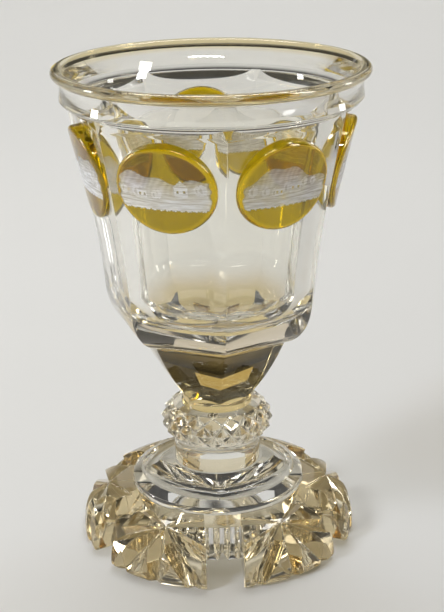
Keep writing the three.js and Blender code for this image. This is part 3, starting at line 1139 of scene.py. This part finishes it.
@dataclass
class Foot:
    """The disc and the six fan-cut lobes, with the star under them."""

    sizes: Sizes
    finishes: Finishes
    radius: float = 43.4
    edge: float = 2.4
    ease: float = 1.8
    lobe_top: float = 16.9
    lobe_edge: float = math.radians(14)
    disc_radius: float = 27.4
    disc_edge_top: float = 18.8
    disc_edge_under: float = 16.4
    disc_edge_pulls: Pairs = ((-0.4, -0.3), (0.1, 0.3))
    dome_pulls: Pairs = ((0.35, 0.55),)
    hub_radius: float = 25.6
    hub_wall: float = 11.5
    seat_radius: float = 14.3
    gap_width: float = 11.4
    lenses: int = 4
    lens_depth: float = 1.2
    lens_reach: float = 19.2
    lens_sweep: float = 34.0
    lens_hollow: float = 8.5
    fan_reach: float = 35.0
    notch_reach: float = 41.5
    side_notch_reach: float = 41.3
    side_notch_angle: float = math.radians(17)
    mitre_opening: float = math.radians(64)
    branch_opening: float = math.radians(66)
    branch_start: float = 28.5
    branch_start_depth: float = 1.3
    branch_end: float = 37.5
    branch_end_z: float = 9.5
    scallop_opening: float = math.radians(112)
    scallop_reach: float = 41.0
    scallop_top_reach: float = 43.1
    scallop_top: float = 9.0
    gap_flutes: int = 3
    gap_flute_depth: float = 0.6
    star_width: float = 3.6
    star_depth: float = 2.9
    star_start: float = 6.0

    def brow(self, count: int) -> Line:
        """The outer line of the lobes, from the table up.

        Args:
            count: How many steps it is divided into.

        Returns:
            Radius and height pairs.
        """
        spread = self.radius - self.disc_radius
        low = (self.radius - 0.025 * spread, 0.64 * self.lobe_top)
        high = (self.radius - 0.25 * spread, 0.935 * self.lobe_top)
        return bezier([(self.radius, self.edge), low, high, (self.disc_radius, self.lobe_top)], count)

    def on_lobe(self, radius: float, angle: float, z: float) -> Vector:
        """A point at an angle from a lobe's middle."""
        return Vector((radius * math.sin(angle), radius * math.cos(angle), z))

    def on_side_wall(self, hand: int, distance: float, z: float) -> Vector:
        """A point on one of a lobe's two side walls.

        Args:
            hand: -1 or 1 for the wall.
            distance: How far out it is.
            z: Its height.

        Returns:
            The point.
        """
        half = self.sizes.lobe_angle / 2
        along = Vector((hand * math.sin(half), math.cos(half), 0))
        inwards = Vector((-hand * along.y, hand * along.x, 0))
        point = along * distance + inwards * (self.gap_width / 2)
        return Vector((point.x, point.y, z))

    def mitre(self, start: Vector, end: Vector, opening: float) -> Solid:
        """A straight V cut that opens outwards.

        Args:
            start: Where its edge starts.
            end: Where its edge leaves the lobe.
            opening: The angle of the V.

        Returns:
            The solid of the cut.
        """
        along = (end - start).normalized()
        upwards = Vector((start.x + end.x, start.y + end.y, self.radius))
        outwards = (upwards - along * upwards.dot(along)).normalized()
        height = 2 * self.lobe_top
        half = height * math.tan(opening / 2)
        place = Matrix((outwards.cross(along), outwards, along)).transposed().to_4x4()
        place.translation = start
        return prism("mitre", [(0, 0), (half, height), (-half, height)], (end - start).length * 1.5, place)

    def fan(self) -> list[Solid]:
        """The mitres of one lobe.

        Returns:
            The solids of the cuts.
        """
        radii, heights = zip(*reversed(self.brow(200)))
        apex = self.on_lobe(self.fan_reach, 0, float(np.interp(self.fan_reach, radii, heights)))
        cuts = [self.mitre(apex, self.on_lobe(self.notch_reach, 0, 0), self.mitre_opening)]
        for hand in (-1, 1):
            notch = self.on_lobe(self.side_notch_reach, hand * self.side_notch_angle, 0)
            back = self.on_side_wall(hand, self.branch_start, self.lobe_top - self.branch_start_depth)
            side = self.on_side_wall(hand, self.branch_end, self.branch_end_z)
            cuts.append(self.mitre(apex, notch, self.mitre_opening))
            cuts += [self.mitre(apex, end, self.branch_opening) for end in (back, side)]
        for share in (-1, 0, 1):
            angle = share * self.side_notch_angle
            high = self.on_lobe(self.scallop_top_reach, angle, self.scallop_top)
            low = self.on_lobe(self.scallop_reach, angle, 0)
            cuts.append(self.mitre(high, low, self.scallop_opening))
        return cuts

    def lobes(self, cuts: RoundCut) -> Solid:
        """The six lobes.

        Args:
            cuts: The repeated cut.

        Returns:
            A closed solid.
        """
        s, finish, wide, half = self.sizes, self.finishes.crystal, self.radius, self.gap_width / 2
        under = [(wide - self.ease, 0.0), (wide - 0.3 * self.ease, 0.0)]
        corner = bezier([*under, (wide, 0.4 * self.edge), (wide, self.edge)], 8)
        blank = turned("lobes", [(0.0, 0.0), *corner, *self.brow(28)[1:], (0.0, self.lobe_top)])
        section = [(-half, 0), (half, 0), (half, wide), (-half, wide)]
        slot = prism("gap", section, 2 * wide, Matrix.Translation((0, self.hub_radius / 2, -wide)))
        cuts.apply(blank, slot, s.lobes, s.foot_turn, finish)
        for mitre in self.fan():
            cuts.apply(blank, mitre, s.lobes, s.foot_turn + s.lobe_angle / 2, finish)
        return blank

    def hub(self, cuts: RoundCut) -> Solid:
        """The hub under the disc, and the disc with its lens cuts.

        Args:
            cuts: The repeated cut.

        Returns:
            A closed solid.
        """
        s, finish, disc, top = self.sizes, self.finishes.crystal, self.disc_radius, self.disc_edge_top
        dome = curve((disc, top), (self.seat_radius, s.collar_z), self.dome_pulls, 24)
        under = [(disc + out, self.disc_edge_under + up) for out, up in self.disc_edge_pulls]
        edge = bezier([*under, (disc, top - 0.4), dome[1]], 8)
        outline = [(0.0, 0.0), (self.hub_radius, 0.0), (self.hub_radius, self.hub_wall), *edge, *dome[2:]]
        hub = turned("foot_glass", [*outline, (s.collar_radius, s.collar_z), (0.0, s.collar_z)])
        slope = math.atan2(s.collar_z - top, disc - self.seat_radius)
        surface = top + math.tan(slope) * (disc - self.lens_reach)
        lift = self.lens_hollow - self.lens_depth
        section = circle(self.lens_sweep, self.lens_hollow, 64)
        wheel = turned("lens", [*section, section[0]])
        reach = self.lens_reach + lift * math.sin(slope) - self.lens_sweep
        wheel.data.transform(Matrix.Translation(Vector((0, reach, surface + lift * math.cos(slope))) * MM))
        cuts.apply(hub, wheel, self.lenses, s.foot_turn + math.pi / self.lenses, finish)
        pitch, depth = self.gap_width / self.gap_flutes, self.gap_flute_depth
        radius = pitch * pitch / (8 * depth) + depth / 2
        for flute in range(self.gap_flutes):
            offset = (flute - (self.gap_flutes - 1) / 2) * pitch
            wall = math.sqrt(self.hub_radius**2 - offset**2)
            place = Matrix.Translation((offset, wall + radius - depth, -self.hub_wall))
            wheel = prism("flute", circle(0.0, radius, 48), 2 * self.hub_wall, place)
            cuts.apply(hub, wheel, s.lobes, s.foot_turn, finish)
        return hub

    def star_ray(self) -> Solid:
        """One ray of the star under the foot, deepest at the gap's wall.

        Returns:
            The solid of the cut.
        """
        wide, deep, reach = self.star_width, self.star_depth, self.hub_radius + 1
        length = reach - self.star_start
        tilt = Matrix.Rotation(math.atan2(deep, length), 4, "X") @ Matrix.Rotation(math.pi / 2, 4, "X")
        section = [(-wide, -deep), (wide, -deep), (0, deep)]
        return prism("ray", section, length, Matrix.Translation((0, reach, 0)) @ tilt)

    def build(self, cuts: RoundCut) -> None:
        """Makes and dresses the foot.

        Args:
            cuts: The repeated cut.
        """
        s = self.sizes
        foot = combine(self.hub(cuts), self.lobes(cuts), Joinery.JOIN)
        cuts.apply(foot, self.star_ray(), s.lobes, s.foot_turn, self.finishes.crystal)
        foot.name = "foot_glass"
        shade(foot, self.lobe_edge)
        outer = [f for f in foot.data.polygons if f.center.xy.length / MM > self.hub_radius + 0.5]
        lobes = [f.index for f in outer if f.center.z / MM < self.lobe_top]
        assign(foot, self.finishes.thick, lobes)
        assign(foot, self.finishes.joint, on_level(foot, s.collar_z, s.collar_radius))
        dress(foot, Slot.CRYSTAL, "foot")


@dataclass(frozen=True)
class Lamp:
    """One soft rectangular light. Its place, size and aim are in metres."""

    name: str
    place: tuple[float, float, float]
    size: Point
    watts: float
    reach: Reach
    aim: tuple[float, float, float] = (0, 0, 0.08)

    def light(self) -> None:
        """Sets it up, where the camera itself never sees it."""
        light = bpy.data.lights.new(self.name, "AREA")
        light.shape = "RECTANGLE"
        light.size, light.size_y = self.size
        light.energy = self.watts
        lamp = bpy.data.objects.new(self.name, light)
        lamp.location = self.place
        lamp.visible_diffuse, lamp.visible_glossy, lamp.visible_transmission = self.reach.value
        lamp.visible_camera = False
        lamp.rotation_euler = (Vector(self.aim) - Vector(self.place)).to_track_quat("-Z", "Y").to_euler()
        bpy.context.scene.collection.objects.link(lamp)


LAMPS = (
    Lamp("key", (-0.8, -0.35, 0.8), (0.2, 0.34), 6.6, Reach.MATT),
    Lamp("key_glint", (-0.8, -0.35, 0.8), (0.2, 0.34), 1.3, Reach.GLASS),
    Lamp("top", (0.1, 0.6, 1.2), (0.9, 0.4), 11.2, Reach.SURFACES, (0, 0.1, 0.0)),
    Lamp("window", (0.88, -0.42, 0.62), (0.2, 0.6), 8, Reach.GLASS, (0, 0, 0.12)),
    Lamp("left_edge", (-0.72, 0.1, 0.2), (0.1, 0.36), 2.0, Reach.GLASS),
    Lamp("right_edge", (0.72, 0.16, 0.2), (0.1, 0.36), 1.2, Reach.GLASS),
    Lamp("back", (0.06, 0.85, 0.42), (0.56, 0.15), 0.17, Reach.GLASS),
    Lamp("strip", (0.0, -0.62, 0.95), (0.46, 0.03), 5, Reach.MIRRORED, (0, 0, 0.12)),
)


@dataclass
class Studio:
    """A pale sweep, soft lights and the camera."""

    floor_colour: str = "#E3E2DE"
    # The dark colour is painted shade on the backdrop above the picture.
    painted_shade_colour: str = "#2E2F30"
    floor_radius: float = 560.0
    floor_gap: float = 0.02
    wall_radius: float = 1000.0
    wall_top: float = 350.0
    grade_from: float = 37.0
    distance: float = 409.2
    height: float = 224.8
    azimuth: float = math.radians(-5.5)
    pitch: float = math.radians(20.15)
    yaw: float = math.radians(-0.3)
    roll: float = math.radians(-0.84)
    lens: float = 83.1
    sky_range: Point = (-0.1, 0.8)
    sky_light: Point = (0.1, 0.05)
    bounces: int = 24

    def sweep(self) -> None:
        """The round floor that curves up into a low backdrop."""
        wall = curve((self.floor_radius, 0.0), (self.wall_radius, self.wall_top), ((1.0, 0.0),), 24)
        sweep = turned("sweep", [(0.0, 0.0), *wall], 96)
        # Light has to leave the glass before it meets the paper, or the foot would look smoky.
        sweep.data.transform(Matrix.Translation((0, 0, -self.floor_gap * MM)))
        sweep.data.shade_smooth()
        material = bpy.data.materials.new("matt_pale_paper")
        tree = cleared(material)
        # The paper is pale up to where the picture ends and is painted dark above it, as painted shade for
        # an unlit studio, and that dark is what draws the edges of clear glass.
        place = add(tree, "ShaderNodeTexCoord").outputs["Object"]
        height = add(tree, "ShaderNodeSeparateXYZ", {0: place}).outputs["Z"]
        grade = {"Value": height, "From Min": self.grade_from * MM, "From Max": self.wall_top * MM}
        painted_shade_share = add(tree, "ShaderNodeMapRange", grade, interpolation_type="SMOOTHSTEP")
        tints = {0: painted_shade_share, 6: linear(self.floor_colour), 7: linear(self.painted_shade_colour)}
        colour = add(tree, "ShaderNodeMix", tints, data_type="RGBA").outputs[2]
        matt = {"Base Color": colour, "Roughness": 0.9, "Specular IOR Level": 0.0}
        paper = add(tree, "ShaderNodeBsdfPrincipled", matt)
        add(tree, "ShaderNodeOutputMaterial", {"Surface": paper})
        sweep.data.materials.append(material)

    def world(self) -> None:
        """Even light, paler low down than overhead, so that cut glass has something to bend."""
        world = bpy.data.worlds.new("studio")
        bpy.context.scene.world = world
        tree = cleared(world)
        way = add(tree, "ShaderNodeTexCoord").outputs["Generated"]
        up = add(tree, "ShaderNodeSeparateXYZ", {0: way}).outputs["Z"]
        (low, high), (low_light, high_light) = self.sky_range, self.sky_light
        grade = {"Value": up, "From Min": low, "From Max": high, "To Min": low_light, "To Max": high_light}
        light = add(tree, "ShaderNodeMapRange", grade)
        sky = add(tree, "ShaderNodeBackground", {"Color": (1, 1, 1, 1), "Strength": light})
        add(tree, "ShaderNodeOutputWorld", {"Surface": sky})

    def camera(self) -> None:
        """The camera at the photograph's viewing angle."""
        data = bpy.data.cameras.new("camera")
        data.sensor_fit = "VERTICAL"
        data.sensor_height = 36
        data.lens = self.lens
        data.clip_start = 0.01
        camera = bpy.data.objects.new("camera", data)
        across, back = self.distance * math.sin(self.azimuth), self.distance * math.cos(self.azimuth)
        turn = (
            Matrix.Rotation(self.azimuth + self.yaw, 4, "Z")
            @ Matrix.Rotation(math.pi / 2 - self.pitch, 4, "X")
            @ Matrix.Rotation(self.roll, 4, "Z")
        )
        camera.matrix_world = Matrix.Translation(Vector((across, -back, self.height)) * MM) @ turn
        bpy.context.scene.collection.objects.link(camera)
        bpy.context.scene.camera = camera

    def build(self) -> None:
        """Sets the whole studio."""
        self.sweep()
        for lamp in LAMPS:
            lamp.light()
        self.world()
        self.camera()
        bpy.context.scene.view_settings.view_transform = "Standard"
        # Light crosses many walls of cut glass before it reaches the eye.
        cycles = bpy.context.scene.cycles
        cycles.caustics_refractive = False
        cycles.caustics_reflective = False
        cycles.max_bounces = self.bounces
        cycles.transmission_bounces = self.bounces
        cycles.glossy_bounces = self.bounces // 2
        cycles.transparent_max_bounces = self.bounces


def main() -> None:
    """Builds the goblet and its studio in order."""
    logging.basicConfig(level=logging.INFO, format="%(name)s: %(message)s")
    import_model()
    Studio().build()
    sizes = Sizes()
    bowl = LeadCrystal("polished_lead_crystal_bowl", deep_tint="#D6B566")
    knop = LeadCrystal("polished_lead_crystal_knop", tint="#F3EBD6", soft_edge_mm=0.35)
    lobes = LeadCrystal("polished_lead_crystal_lobes", tint="#E4D3AA", shadow="#DDD9CE", soft_edge_mm=0.35)
    finishes = Finishes(
        bowl=bowl.make(),
        crystal=LeadCrystal().make(),
        knop=knop.make(),
        thick=lobes.make(),
        amber=AmberStain().make(),
        joint=FusedJoint().make(),
    )
    cuts = RoundCut()
    line = FlareLine(sizes)
    # They were set by hand, and the two that face the front are a little shorter.
    front = Medallion(sizes, line)
    other = Medallion(sizes, line, length=28.0, drop=19.2)
    medallions = [front, other, other, other, other, other, front]
    Bowl(sizes, line, medallions, finishes).build(cuts)
    MedallionSet(sizes, medallions, finishes).build()
    stem = Stem(sizes, finishes)
    stem.knop(cuts)
    stem.collar()
    Foot(sizes, finishes).build(cuts)
    bpy.data.node_groups.remove(cuts.tree)


if __name__ == "__main__":
    main()
